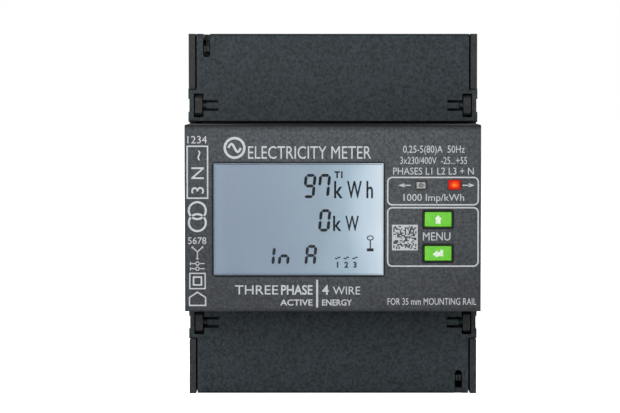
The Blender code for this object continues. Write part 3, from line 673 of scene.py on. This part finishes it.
class Print:
    """Flat shapes on a face that looks forward, gathered into one thin closed piece."""

    def __init__(self):
        self.mesh = bmesh.new()

    def faces(self, points, faces):
        """Faces over (x, z) points, each given as the numbers of its points."""
        made = [self.mesh.verts.new((x, 0, z)) for x, z in points]
        for face in faces:
            self.mesh.faces.new([made[i] for i in face])

    def fill(self, outline):
        """The area inside an outline."""
        self.faces(outline, [tuple(range(len(outline)))])

    def stroke(self, points, width, closed=False):
        """A line of this width through the points, with mitred turns and square ends."""
        count = len(points)
        places = [Vector(point) for point in points]
        steps = [(places[(i + 1) % count] - places[i]).normalized() for i in range(count)]
        sides = []
        for i, place in enumerate(places):
            into = steps[i - 1] if closed or i else steps[i]
            out = steps[i] if closed or i < count - 1 else into
            along = (into + out).normalized()
            half = width / 2 / max(along.dot(into), 0.4)
            across = Vector((-along.y, along.x)) * half
            sides += [place + across, place - across]
        last = count if closed else count - 1
        pairs = [(2 * i, 2 * ((i + 1) % count)) for i in range(last)]
        self.faces(sides, [(i, i + 1, j + 1, j) for i, j in pairs])

    def ring(self, inner, inner_radius, outer, outer_radius):
        """The band between two rectangles with round corners."""
        inside = rounded(*inner, inner_radius)
        outside = rounded(*outer, outer_radius)
        count = len(inside)
        sides = [(i, (i + 1) % count) for i in range(count)]
        self.faces([*inside, *outside], [(i, j, count + j, count + i) for i, j in sides])

    def text(self, words, left, right, base, cap, bold=0.0, upward=False):
        """One line that fills the width from left to right. Upward turns it to read from below."""
        points, faces = drawn_text(words, bold)
        low = min(x for x, _ in points)
        stretch = (right - left) / (max(x for x, _ in points) - low)
        line = [(left + (x - low) * stretch, z * cap / CAP_UNIT) for x, z in points]
        if upward:
            line = [(base - rise, along) for along, rise in line]
        else:
            line = [(along, base + rise) for along, rise in line]
        self.faces(line, faces)

    def label(self, words, middle, base, cap, bold=0.0):
        """Words centred on a place, in the proportions of the font."""
        points, _ = drawn_text(words, bold)
        across = [x for x, _ in points]
        half = (max(across) - min(across)) * cap / CAP_UNIT / 2
        self.text(words, middle - half, middle + half, base, cap, bold)

    def piece(
        self, name, look="print", body="housing", front=NOSE_FRONT, proud=INK_PROUD, sunk=INK_SUNK
    ):
        """Thickens the shapes round the face and makes them one piece, on the nose if not told."""
        bmesh.ops.remove_doubles(self.mesh, verts=self.mesh.verts, dist=0.001)
        grown = bmesh.ops.extrude_face_region(self.mesh, geom=self.mesh.faces[:], use_keep_orig=True)
        moved = [g for g in grown["geom"] if isinstance(g, bmesh.types.BMVert)]
        bmesh.ops.translate(self.mesh, verts=moved, vec=(0, proud + sunk, 0))
        bmesh.ops.translate(self.mesh, verts=self.mesh.verts, vec=(0, front - proud, 0))
        bmesh.ops.scale(self.mesh, verts=self.mesh.verts, vec=(MM, MM, MM))
        bmesh.ops.recalc_face_normals(self.mesh, faces=self.mesh.faces)
        return piece_of(self.mesh, name, look, body)


def object_of(mesh, name, material):
    """Makes an object of a bmesh in metres."""
    data = bpy.data.meshes.new(name)
    mesh.to_mesh(data)
    mesh.free()
    data.materials.append(material)
    return added(name, data)


def piece_of(mesh, name, look, body):
    """Makes an object of a bmesh in metres, gives it its look and lets it ride on a body."""
    obj = object_of(mesh, name, LOOKS[look])
    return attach(obj, body)


# Markings on the nose.

# The sides of the frames to the right of the display, and the width of their lines.
PANEL_LEFT, PANEL_RIGHT = 13.2, 35.0
LINE = 0.34


def panel_lines():
    """The two round-cornered frames round the lamps and round the keys, and the bar of the title."""
    lamp_frame, key_frame = (3.3, 9.9), (-11.5, 2.6)
    bar, bar_top, bar_foot = -3.8, -14.8, -21.5
    lines = Print()
    for foot, top in (lamp_frame, key_frame):
        lines.stroke(rounded((PANEL_LEFT, foot), (PANEL_RIGHT, top), 1.1), LINE, closed=True)
    lines.stroke([(bar, bar_top), (bar, bar_foot)], 0.5)
    lines.piece("print_panel_lines")


def dark_borders():
    """Black bands round the display window and round the two keys: painted shade for the dark gap round
    the window and the keys' shaded skirts.
    """
    window_gap, window_edge = 0.03, 0.36
    key_gap, key_edge = 0.28, 0.62
    edges = Print()
    low, high = (GLASS_LOW.x, GLASS_LOW.z), (GLASS_HIGH.x, GLASS_HIGH.z)
    low, high = grown(low, high, -GLASS_OVERLAP)
    edges.ring(grown(low, high, window_gap), 0.3, grown(low, high, window_edge), 0.9)
    for node in ("up_button", "enter_button"):
        x, z = front_middle(node)
        low, high = (x - KEY_WIDE / 2, z - KEY_HIGH / 2), (x + KEY_WIDE / 2, z + KEY_HIGH / 2)
        edges.ring(grown(low, high, key_gap), 0.35, grown(low, high, key_edge), 0.6)
    edges.piece("print_painted_shade_rings", "shade_black", sunk=0.38)


def grown(low, high, more):
    """A rectangle's two corners, further out by this much."""
    return (low[0] - more, low[1] - more), (high[0] + more, high[1] + more)


def rating_lines():
    """Generic ratings and names of the kind every such meter carries."""
    small = 1.65
    words = Print()
    words.text("ELECTRICITY METER", -20.4, 9.2, 14.4, 3.0)
    words.text("0,25-5(80)A  50Hz", 16.9, 31.7, 15.85, 1.7)
    words.text("3x230/400V  -25...+55", 16.2, 32.3, 13.15, small)
    words.text("PHASES L1 L2 L3 + N", 14.5, 33.9, 10.6, small)
    words.text("1000 Imp/kWh", 17.0, 31.6, 4.25, small)
    words.text("MENU", 21.7, 28.3, -5.3, 1.95)
    words.text("FOR 35 mm MOUNTING RAIL", PANEL_LEFT, 34.6, -20.85, 1.6)
    words.piece("print_ratings")


def title_words():
    """The kind of meter in two rows under the display, on both sides of the bar."""
    upper, lower = -18.35, -21.0
    left_end, right_start = -4.9, -2.6
    title = Print()
    title.text("THREE", -23.6, -13.2, upper, 2.2)
    title.text("PHASE", -12.5, left_end, upper, 2.2, bold=0.02)
    title.text("4", right_start, -1.0, upper, 2.2, bold=0.02)
    title.text("WIRE", 0.0, 6.6, upper, 1.9)
    title.text("ACTIVE", -12.7, left_end, lower, 1.4, bold=0.015)
    title.text("ENERGY", right_start, 4.6, lower, 1.4, bold=0.015)
    title.piece("print_title")


def wave_mark():
    """A plain circle round one period of a sine, the sign for alternating current."""
    mark = Print()
    centre = (-23.65, 17.0)
    mark.stroke(circle(centre, 2.35, 40), 0.6, closed=True)
    mark.stroke(wave(centre, 3.0, 1.9), 0.55)
    mark.piece("print_wave_mark")


def flow_arrows():
    """The arrows beside the two lamps."""
    z, half_head = 8.0, 0.5
    arrows = Print()
    for tip, way in ((15.75, -1), (34.2, 1)):
        tail, neck, barb = tip - 3.0 * way, tip - 1.2 * way, tip - 1.5 * way
        arrows.stroke([(tail, z), (neck, z)], 0.26)
        arrows.fill([(tip, z), (barb, z + half_head), (barb, z - half_head)])
    arrows.piece("print_flow_arrows")


def square_pattern():
    """A framed field of random small squares, which codes nothing. Squares side by side make one bar."""
    chance = random.Random(7)
    share_filled = 0.52
    field = Print()
    left, base, side, cells = 14.25, -7.7, 6.2, 18
    step = side / (cells + 2)
    apart = step * 0.03
    low, high = (left, base), (left + side, base + side)
    field.stroke(corners_of(*grown(low, high, -step / 2)), step - 2 * apart, closed=True)
    for row in range(cells):
        filled = [chance.random() < share_filled for _ in range(cells)] + [False]
        start = None
        for column, on in enumerate(filled):
            if on and start is None:
                start = column
            if not on and start is not None:
                x0, x1 = left + step * (start + 1), left + step * (column + 1)
                z0 = base + step * (row + 1)
                field.fill(corners_of(*grown((x0, z0), (x1, z0 + step), -apart)))
                start = None
    field.piece("print_square_pattern")


def corners_of(low, high):
    """The four corners of a rectangle, in order round it."""
    (x0, z0), (x1, z1) = low, high
    return [(x0, z0), (x1, z0), (x1, z1), (x0, z1)]


def left_column():
    """The column of generic symbols and digits at the left of the display."""
    column = Print()
    left, right = -35.0, -30.3
    middle = (left + right) / 2
    box_foot, box_top = 4.9, 17.4
    column.text("1234", left, right, 18.1, 1.75)
    outline = corners_of((left - 0.05, box_foot), (right + 0.15, box_top))
    column.stroke(outline, LINE, closed=True)
    column.text("3 N ~", box_foot + 1.1, box_top - 1.0, -31.05, 3.0, upward=True)
    for z in (1.9, -1.0):
        column.stroke(circle((middle, z), 2.05, 28), 0.5, closed=True)
    column.text("5678", left + 0.1, right - 0.2, -6.15, 1.6)
    star_symbol(column, (middle, -8.05))
    transformer_symbol(column, (middle, -11.5))
    for half, thick in ((1.85, 0.3), (0.95, 0.36)):
        column.stroke(corners_of(*grown((middle, -15.1), (middle, -15.1), half)), thick, closed=True)
    column.stroke(house((middle, -19.4), 1.95, 3.2), 0.32, closed=True)
    column.piece("print_symbols")


def house(centre, half, height):
    """The outline of a house, the sign for indoor use."""
    x, z = centre
    low, eaves, top = z - height / 2, z + height * 0.1, z + height / 2
    return [(x - half, low), (x + half, low), (x + half, eaves), (x, top), (x - half, eaves)]


def star_symbol(column, centre):
    """Three lines from one point with a dot at each end, the sign for a star-connected supply."""
    x, z = centre
    for turn in (42, 138, 270):
        reach = Vector((math.cos(math.radians(turn)), math.sin(math.radians(turn)))) * 1.6
        end = (x + reach.x, z + reach.y)
        column.stroke([centre, end], 0.26)
        column.fill(circle(end, 0.27, 10))


def transformer_symbol(column, centre):
    """Two lines, each with a small ring on it, the sign for current transformers."""
    x, z = centre
    ring, reach = 0.42, 1.7
    for line in (z - 0.62, z + 0.62):
        column.stroke([(x - reach, line), (x - ring, line)], 0.22)
        column.stroke([(x + ring, line), (x + reach, line)], 0.22)
        column.stroke([(x - reach, line - 0.4), (x - reach, line + 0.4)], 0.22)
        column.stroke(circle((x, line), ring, 14), 0.2, closed=True)


# Display content.

# Each bar of a digit from end to end, as shares of the digit's width and height.
SEGMENT_ENDS = {
    "a": ((0, 1), (1, 1)),
    "b": ((1, 1), (1, 0.5)),
    "c": ((1, 0.5), (1, 0)),
    "d": ((0, 0), (1, 0)),
    "e": ((0, 0.5), (0, 0)),
    "f": ((0, 1), (0, 0.5)),
    "g": ((0, 0.5), (1, 0.5)),
}
SEGMENT_GAP = 0.07
DIGITS = {"9": "abcdfg", "7": "abcf", "0": "abcdef", "I": "ef", "n": "ceg", "A": "abcefg"}
# A digit leans to the right by this share of its height.
LEAN = 0.10
SEGMENT_WIDTH = 0.72


def seven_segment(display, symbol, left, base, width, height):
    """One slanted digit of pointed bars."""
    for name in DIGITS[symbol]:
        (u0, v0), (u1, v1) = SEGMENT_ENDS[name]
        start = Vector((u0 * width, v0 * height))
        end = Vector((u1 * width, v1 * height))
        along = (end - start).normalized()
        across = Vector((-along.y, along.x)) * (SEGMENT_WIDTH / 2)
        start += along * SEGMENT_GAP
        end -= along * SEGMENT_GAP
        shoulder = along * (SEGMENT_WIDTH / 2)
        outline = [
            start,
            start + shoulder + across,
            end - shoulder + across,
            end,
            end - shoulder - across,
            start + shoulder - across,
        ]
        display.fill([(left + p.x + LEAN * p.y, base + p.y) for p in outline])


def small_key(display, x, top, low):
    """The small key that shows the menu is locked: a flat ring, a stem and a foot."""
    half_wide, half_high = 0.72, 0.5
    bow = circle((x, top - 0.1 - half_high), (half_wide, half_high), 18)
    display.stroke(bow, 0.24, closed=True)
    display.stroke([(x, top - 0.1 - 2 * half_high), (x, low)], 0.3)
    display.fill(corners_of((x - 0.85, low), (x + 0.8, low + 0.72)))


def display_content():
    """The figures, units and signs that the display shows, in three rows."""
    top, middle, bottom = 5.15, -2.95, -11.3
    shown = Print()
    seven_segment(shown, "9", -6.95, top, 2.15, 5.15)
    seven_segment(shown, "7", -3.45, top, 2.15, 5.15)
    seven_segment(shown, "0", -3.25, middle, 2.05, 4.7)
    seven_segment(shown, "I", -14.55, bottom, 2.0, 4.2)
    seven_segment(shown, "n", -13.0, bottom, 2.0, 4.2)
    seven_segment(shown, "A", -6.55, bottom, 2.0, 4.4)
    for letter, left, right in (("k", 0.3, 2.4), ("W", 3.4, 7.0), ("h", 8.1, 9.7)):
        shown.text(letter, left, right, top - 0.3, 4.0, bold=0.015)
    for letter, left, right in (("k", 0.05, 2.1), ("W", 3.0, 6.3)):
        shown.text(letter, left, right, middle - 0.15, 3.55, bold=0.015)
    shown.text("T1", 0.35, 2.35, 9.7, 1.5, bold=0.04)
    for i, figure in enumerate("123"):
        x = 1.15 + 2.1 * i
        shown.label(figure, x, -12.0, 1.3, bold=0.04)
        shown.stroke(wave((x, -9.7), 1.3, -0.4, 10), 0.26)
    small_key(shown, 9.05, -4.25, -8.1)
    shown.piece("display_segments", "segment", front=GLASS_LOW.y, proud=0.03, sunk=0.01)


# Keys.


UP_ARROW = [(0.57, -1.05), (0.57, 0.05), (0.88, 0.05), (0.0, 1.0), (-0.88, 0.05), (-0.57, 0.05)]
UP_ARROW += [(-0.57, -1.05)]
ENTER_ARROW = [(-1.3, -0.25), (-0.15, 0.75), (-0.15, 0.3), (0.55, 0.3), (0.55, 0.85), (1.2, 0.85)]
ENTER_ARROW += [(1.2, -0.7), (-0.15, -0.7), (-0.15, -1.1)]


def key_arrows():
    """The white arrows printed on the two keys, each drawn round the middle of its key."""
    for key, outline in (("up", UP_ARROW), ("enter", ENTER_ARROW)):
        x, z = front_middle(key + "_button")
        arrow = Print()
        arrow.fill([(x + right, z + above) for right, above in outline])
        front = span(key + "_button")[0].y
        arrow.piece(key + "_arrow_print", "key_print", key + "_key", front)


# Terminals, latch spring and boards.


def terminal_numbers():
    """The number of each terminal, printed in its cell on the side towards the nose."""
    numbers = Print()
    cap, from_screw = 2.3, 8.6
    for number in range(1, 13):
        x, z = front_middle(f"terminal_screw_{number:02d}")
        base = z - math.copysign(from_screw, z) - cap / 2
        numbers.label(str(number), x, base, cap)
    face = span("terminal_screw_01")[0].y + SCREW_HEAD_DEPTH
    numbers.piece("print_terminal_numbers", front=face)


def slot_baffle():
    """The dark strips that close the slots between the nose and the two terminal blocks."""
    half = span("terminal_block_upper")[1].x - 1.0
    front = NOSE_HIGH.y + 0.3
    clearance, thick, tall = 0.1, 0.4, 2.6
    strip = bmesh.new()
    for block_node, way in (("terminal_block_upper", 1), ("terminal_block_lower", -1)):
        low, high = span(block_node)
        edge = (low.z if way > 0 else high.z) - clearance * way
        block(strip, (-half, front, edge), (half, front + thick, edge - tall * way))
    piece_of(strip, "slot_baffle", "latch", "housing")


def seal_slot_web():
    """The thin web that closes the end of the lower cover's seal slot."""
    slot_middle, half = 31.3, 0.95
    inset, thick = 0.7, 0.4
    clearance, reach = 0.06, 1.35
    low, _ = span("lower_terminal_cover")
    front = low.y + inset
    web = bmesh.new()
    near = (slot_middle - half, front, low.z + clearance)
    block(web, near, (slot_middle + half, front + thick, low.z + reach))
    piece_of(web, "seal_slot_web", "latch", "lower_cover")


def tube(mesh, points, radius, sides):
    """A round wire along the points, closed by flat ends."""
    rings = []
    for i, point in enumerate(points):
        along = points[min(i + 1, len(points) - 1)] - points[max(i - 1, 0)]
        side = along.cross(Vector((0, 0, 1))).normalized()
        up = side.cross(along).normalized()
        turns = [math.tau * j / sides for j in range(sides)]
        ring = [point + (side * math.cos(t) + up * math.sin(t)) * radius for t in turns]
        rings.append([mesh.verts.new(corner) for corner in ring])
    for near, far in zip(rings, rings[1:]):
        for j in range(sides):
            k = (j + 1) % sides
            mesh.faces.new([near[j], near[k], far[k], far[j]])
    mesh.faces.new(rings[0][::-1])
    mesh.faces.new(rings[-1])
    bmesh.ops.recalc_face_normals(mesh, faces=mesh.faces)


def latch_spring():
    """The latch's compression spring: a fine coil with closed ends."""
    low, high = span("rail_latch_spring")
    wire, turns, steps, closed = 0.26, 9, 28, 1.0
    radius = (high.x - low.x) / 2 - wire
    middle = (low + high) / 2
    bottom, top = low.z + wire, high.z - wire
    pitch = 2.1 * wire
    rise = (top - bottom - 2 * closed * pitch) / (turns - 2 * closed)
    points = []
    for i in range(turns * steps + 1):
        turn = i / steps
        height = pitch * min(turn, closed) + rise * min(max(turn - closed, 0), turns - 2 * closed)
        height += pitch * max(turn - turns + closed, 0)
        angle = math.tau * turn
        place = (radius * math.cos(angle), radius * math.sin(angle), bottom + height)
        points.append((Vector((middle.x, middle.y, 0)) + Vector(place)) * MM)
    mesh = bmesh.new()
    tube(mesh, points, wire * MM, 10)
    spring = piece_of(mesh, "latch_spring_coil", "spring", "housing")
    spring.data.shade_smooth()
    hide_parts("rail_latch_spring")
    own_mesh(spring)


def block(mesh, low, high):
    """A plain box between two corners in millimetres."""
    made = bmesh.ops.create_cube(mesh, size=1)["verts"]
    for vert in made:
        for axis in range(3):
            ends = sorted((low[axis], high[axis]))
            vert.co[axis] = MM * (ends[1] if vert.co[axis] > 0 else ends[0])


class BoardSide:
    """The parts on one side of a board. way is -1 for the front side and 1 for the back."""

    def __init__(self, board, way):
        low, high = span(board)
        self.name = f"{board}_{'front' if way < 0 else 'back'}"
        self.face = low.y if way < 0 else high.y
        self.way = way
        self.bodies = bmesh.new()
        self.metal = bmesh.new()
        self.ceramic = bmesh.new()

    def place(self, mesh, x, z, start, stop):
        """A block over this x and z range, from one height above the board to another."""
        low = (x[0], self.face + self.way * start, z[0])
        block(mesh, low, (x[1], self.face + self.way * stop, z[1]))

    def chip(self, middle, wide, high, height, pitch):
        """A plastic package with a row of bent leads along its left and right sides."""
        x, z = middle
        self.place(self.bodies, (x - wide / 2, x + wide / 2), (z - high / 2, z + high / 2), 0.12, height)
        count = int((high - 0.6) / pitch)
        for i in range(count):
            row = z + pitch * (i - (count - 1) / 2)
            rows = (row - pitch * 0.22, row + pitch * 0.22)
            for side in (-1, 1):
                edge, knee = x + side * wide / 2, height * 0.45
                bend, foot, toe = edge + side * 0.35, edge + side * 0.52, edge + side * 1.0
                self.place(self.metal, (edge, edge + side * 0.5), rows, knee, height * 0.6)
                self.place(self.metal, (bend, foot), rows, 0.02, knee)
                self.place(self.metal, (foot, toe), rows, 0.02, 0.18)

    def small_part(self, middle, wide, high):
        """A ceramic capacitor or resistor with a tinned cap at each end."""
        x, z = middle
        cap = wide * 0.22
        inner = wide / 2 - cap
        self.place(self.ceramic, (x - inner, x + inner), (z - high / 2, z + high / 2), 0.03, 0.6)
        for side in (-1, 1):
            ends = (x + side * inner, x + side * wide / 2)
            self.place(self.metal, ends, (z - high / 2 - 0.02, z + high / 2 + 0.02), 0.02, 0.63)

    def finish(self):
        """Makes one piece of each kind of part."""
        looks = (
            ("bodies", "switch", "switch_black"),
            ("metal", "zinc", "zinc_steel"),
            ("ceramic", "ceramic", "circuit_board"),
        )
        for part, look, slot in looks:
            obj = piece_of(getattr(self, part), f"{self.name}_{part}", look, "housing")
            rounded_by(obj, "round_edges", 0.05, 1, "ANGLE")


def board_parts():
    """The controller, the metering chip, the supply and the small parts round them."""
    large, little = (2.0, 1.25), (1.6, 0.8)
    fine_pitch, pitch, wide_pitch = 0.8, 1.27, 2.54
    main = BoardSide("main_board", -1)
    main.chip((5.0, 2.0), 9.0, 9.0, 1.4, fine_pitch)
    main.chip((24.0, 4.0), 5.0, 9.0, 1.6, pitch)
    main.chip((-8.0, 8.0), 4.0, 5.0, 1.5, pitch)
    main.chip((26.0, -13.0), 4.5, 9.0, 3.2, wide_pitch)
    for i in range(6):
        main.small_part((-2.0 + 2.6 * i, 10.5), *large)
        main.small_part((-2.0 + 2.6 * i, -6.0), *large)
        main.small_part((-9.0, -8.0 + 2.0 * i), *large)
    for i in range(3):
        for j in range(4):
            main.small_part((-29.0 + 21.6 * i + 2.6 * j, -10.2), *little)
    main.finish()
    back = BoardSide("display_board", 1)
    back.chip((-8.0, 2.0), 7.0, 12.0, 1.2, fine_pitch)
    back.chip((8.0, -6.0), 4.0, 5.0, 1.5, pitch)
    for i in range(8):
        back.small_part((-15.0 + 2.8 * i, -10.5), *large)
        back.small_part((16.0, -9.0 + 2.0 * i), *large)
    back.finish()


# Studio.


def seen_white(tree, rest):
    """1 for what the camera sees directly, and the number rest for light on its way to the meter."""
    seen = add(tree, "LightPath").outputs["Is Camera Ray"]
    return remap(tree, seen, 0.0, 1.0, rest, 1.0)


def floor():
    """A plain round floor, bright enough to burn out to white."""
    radius = 4.0
    mesh = bmesh.new()
    bmesh.ops.create_circle(mesh, cap_ends=True, segments=64, radius=radius)
    material, tree, shader = principled("pale_paper", (0.80, 0.80, 0.80), 0.8)
    shader.inputs["Emission Color"].default_value = (1, 1, 1, 1)
    feed(tree, shader, Emission_Strength=seen_white(tree, 0.0))
    obj = object_of(mesh, "studio_floor", material)
    obj.location.z = CAD_BOX[0].z - 0.02 * MM


def softbox(name, place, aim, wide, high, power):
    """A rectangular lamp that the camera doesn't see. Places and sizes are in metres, power in watts."""
    light = bpy.data.lights.new(name, "AREA")
    light.shape = "RECTANGLE"
    light.size, light.size_y = wide, high
    light.energy = power
    obj = added(name, light)
    obj.location = place
    obj.rotation_mode = "QUATERNION"
    obj.rotation_quaternion = (Vector(aim) - Vector(place)).to_track_quat("-Z", "Y")
    obj.visible_camera = False


def studio():
    """White all round, a small soft light in front and a big one behind at each side."""
    ambient = 0.28
    world = bpy.data.worlds.new("soft_studio")
    world.use_nodes = True
    background = world.node_tree.nodes["Background"]
    background.inputs["Color"].default_value = (1, 1, 1, 1)
    world.node_tree.links.new(seen_white(world.node_tree, ambient), background.inputs["Strength"])
    bpy.context.scene.world = world
    bpy.context.scene.view_settings.view_transform = "Standard"
    softbox("key_softbox", (-0.07, -0.40, 0.115), (0, -0.05, 0), wide=0.16, high=0.22, power=0.86)
    for name, side in (("rear_left_softbox", -1), ("rear_right_softbox", 1)):
        softbox(name, (0.65 * side, 0.55, 0.30), (0, 0, 0), wide=0.5, high=0.5, power=8.5)
    floor()


def camera():
    """The photograph's view: a long lens a little above the middle, looking slightly down."""
    aim = Vector((0, COVER_FRONT * MM, 0))
    height, reach_m = math.radians(3.0), 0.6422
    data = bpy.data.cameras.new("photo_camera")
    data.lens, data.sensor_width = 150, 36
    data.shift_x, data.shift_y = -0.0369, 0.01234
    data.clip_start = 0.01
    obj = added("photo_camera", data)
    obj.location = aim + Vector((0, -math.cos(height), math.sin(height))) * reach_m
    obj.rotation_euler = (math.pi / 2 - height, 0, 0)
    bpy.context.scene.camera = obj


# All of it.

camera()
studio()
for node_name, node_object in frame["nodes"].items():
    finish_node(node_name, node_object)
panel_lines()
dark_borders()
rating_lines()
title_words()
wave_mark()
flow_arrows()
square_pattern()
left_column()
display_content()
key_arrows()
terminal_numbers()
slot_baffle()
seal_slot_web()
latch_spring()
board_parts()
